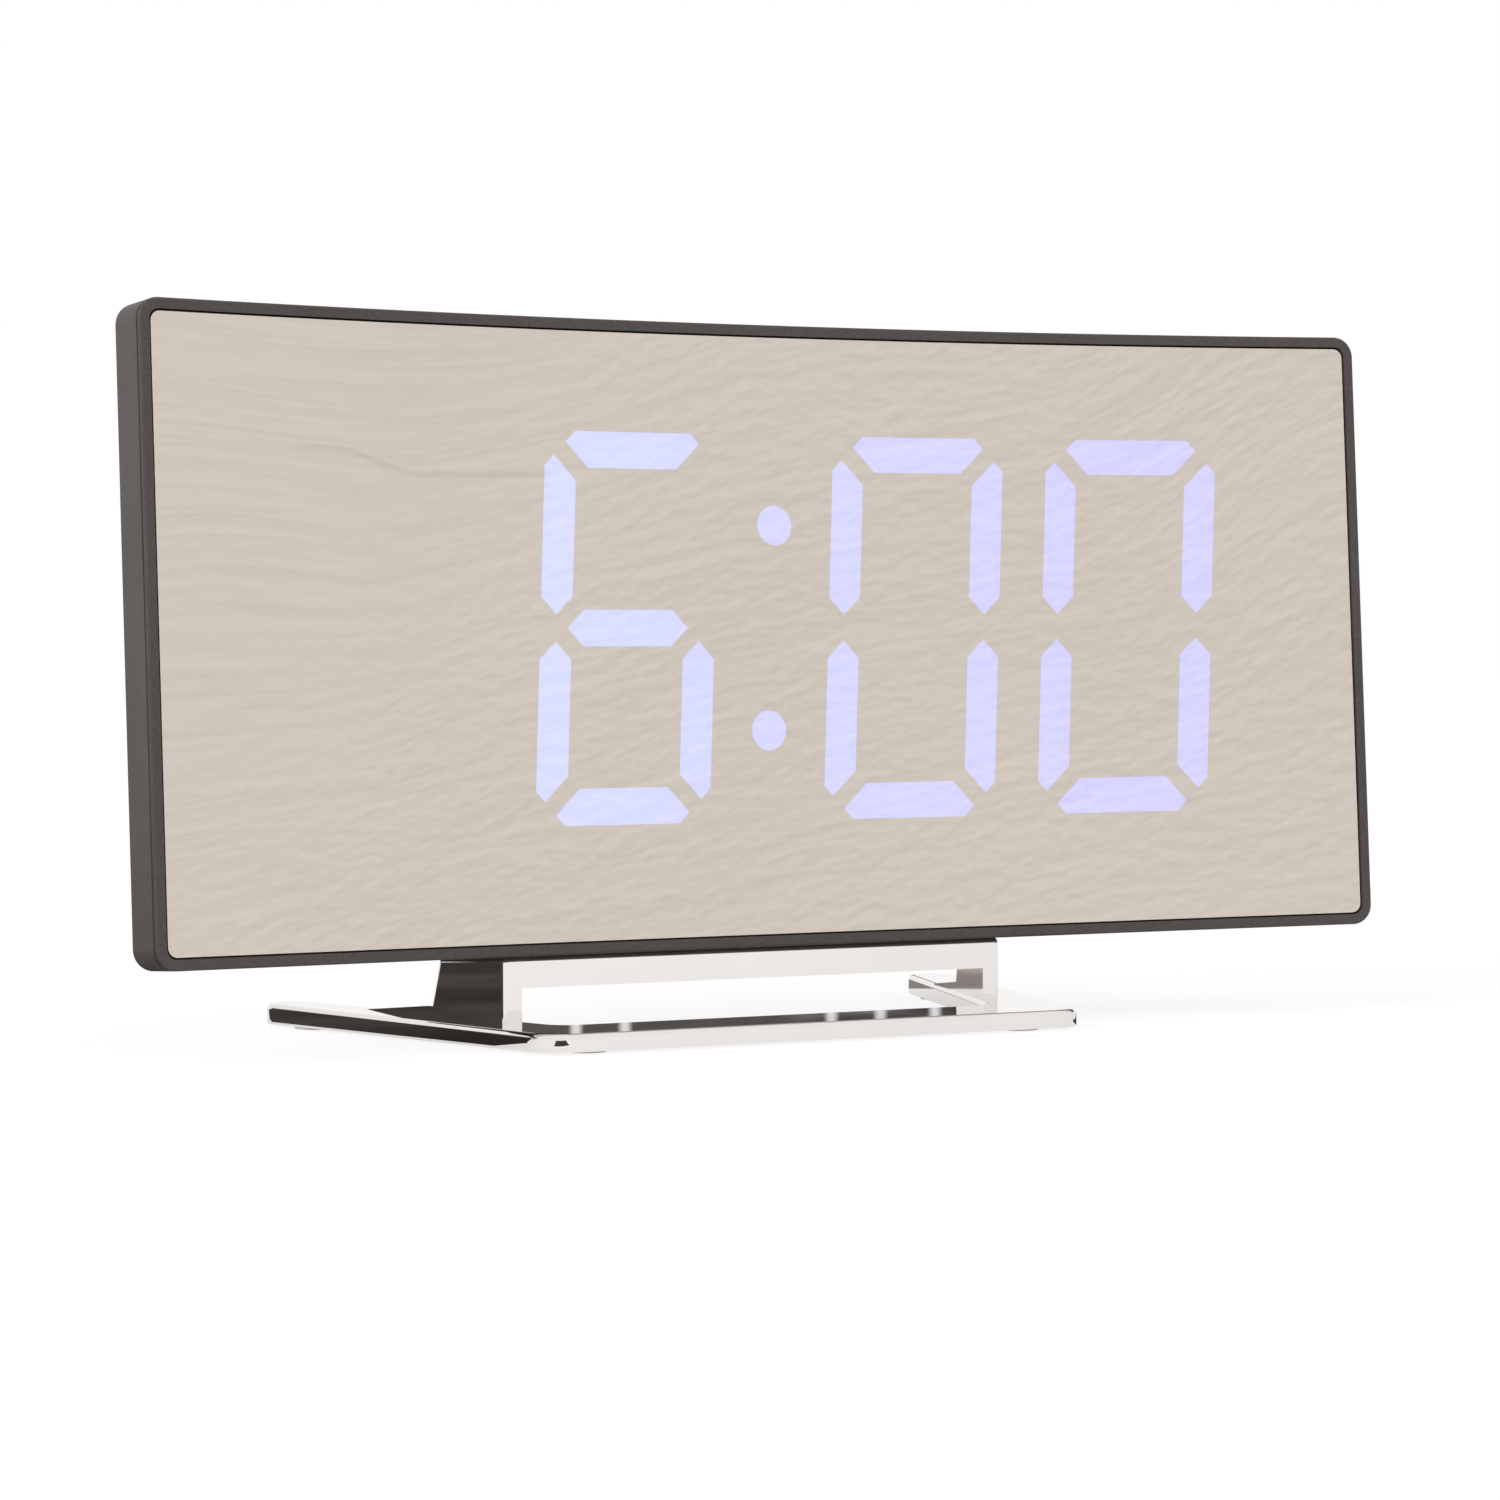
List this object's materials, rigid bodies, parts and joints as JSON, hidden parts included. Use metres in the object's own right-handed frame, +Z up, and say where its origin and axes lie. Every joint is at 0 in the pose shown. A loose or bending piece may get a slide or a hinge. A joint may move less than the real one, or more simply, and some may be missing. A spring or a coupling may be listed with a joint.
{
  "type": "digital led desk clock",
  "caption": "Wide curved-mirror LED desk clock: thin leaning case with a half-mirror front, rear pod with keys and battery door, on a chrome bridge and splayed U-shaped foot.",
  "frame": {"origin": "on the table, under the middle of the clock's box", "axes": "+X to the right as seen from the front, +Y from the screen towards the back, +Z up"},
  "size_m": [0.186, 0.061, 0.0966],
  "materials": {
    "case_plastic": "moulded dark warm grey, fine matte grain",
    "key_plastic": "moulded near-black keys",
    "half_mirror": "half-mirror film on a thin curved panel, warm tone",
    "black_film": "printed black film",
    "lit_diffuser": "milky diffuser, lit pale blue-violet",
    "dark_diffuser": "smoked diffuser, unlit",
    "white_plastic": "white reflector plastic",
    "circuit_board": "glass-fibre board, green mask",
    "component_black": "moulded component bodies",
    "led_package": "small surface-mount lamps",
    "cable_white": "flat ribbon cable",
    "contact_metal": "plated spring steel",
    "cell_jacket": "plain printed cell jacket",
    "screw_steel": "dark plated screws",
    "chrome_plate": "bright chrome plating on moulded plastic",
    "pad_silicone": "soft pale silicone"
  },
  "bodies": {
    "case": {"front_bezel": "case_plastic", "rear_shell": "case_plastic", "mirror_panel": "half_mirror", "segment_mask": "black_film", "lit_segments": "lit_diffuser", "colon_dots": "lit_diffuser", "dark_segments": "dark_diffuser", "light_box": "white_plastic", "led_board": "circuit_board", "control_board": "circuit_board", "led_chips": "led_package", "clock_chips": "component_black", "switch_housings": "component_black", "buzzer": "component_black", "inlet_tongue": "component_black", "link_sockets": "white_plastic", "ribbon_cable": "cable_white", "power_inlet": "contact_metal", "spring_contacts": "contact_metal", "plate_contacts": "contact_metal", "battery_cells": "cell_jacket", "case_screws": "screw_steel", "board_screws": "screw_steel", "stand_bridge": "chrome_plate", "stand_foot": "chrome_plate", "foot_pads": "pad_silicone"},
    "mode_key": {"mode_button": "key_plastic", "mode_plunger": "component_black"},
    "up_key": {"up_button": "key_plastic", "up_plunger": "component_black"},
    "down_key": {"down_button": "key_plastic", "down_plunger": "component_black"},
    "alarm_key": {"alarm_button": "key_plastic", "alarm_plunger": "component_black"},
    "door": {"battery_door": "case_plastic"}
  },
  "joints": [
    {"name": "mode_press", "type": "slide", "parent": "case", "child": "mode_key", "axis": [0, -0.9979, 0.0645], "range_m": [0, 0.0005], "stiffness_N_per_m": 3200},
    {"name": "up_press", "type": "slide", "parent": "case", "child": "up_key", "axis": [0, -0.9979, 0.0645], "range_m": [0, 0.0005], "stiffness_N_per_m": 3200},
    {"name": "down_press", "type": "slide", "parent": "case", "child": "down_key", "axis": [0, -0.9979, 0.0645], "range_m": [0, 0.0005], "stiffness_N_per_m": 3200},
    {"name": "alarm_press", "type": "slide", "parent": "case", "child": "alarm_key", "axis": [0, -0.9979, 0.0645], "range_m": [0, 0.0005], "stiffness_N_per_m": 3200},
    {"name": "door_pull_off", "type": "slide", "parent": "case", "child": "door", "axis": [0, 0.9979, -0.0645], "range_m": [0, 0.02]}
  ]
}
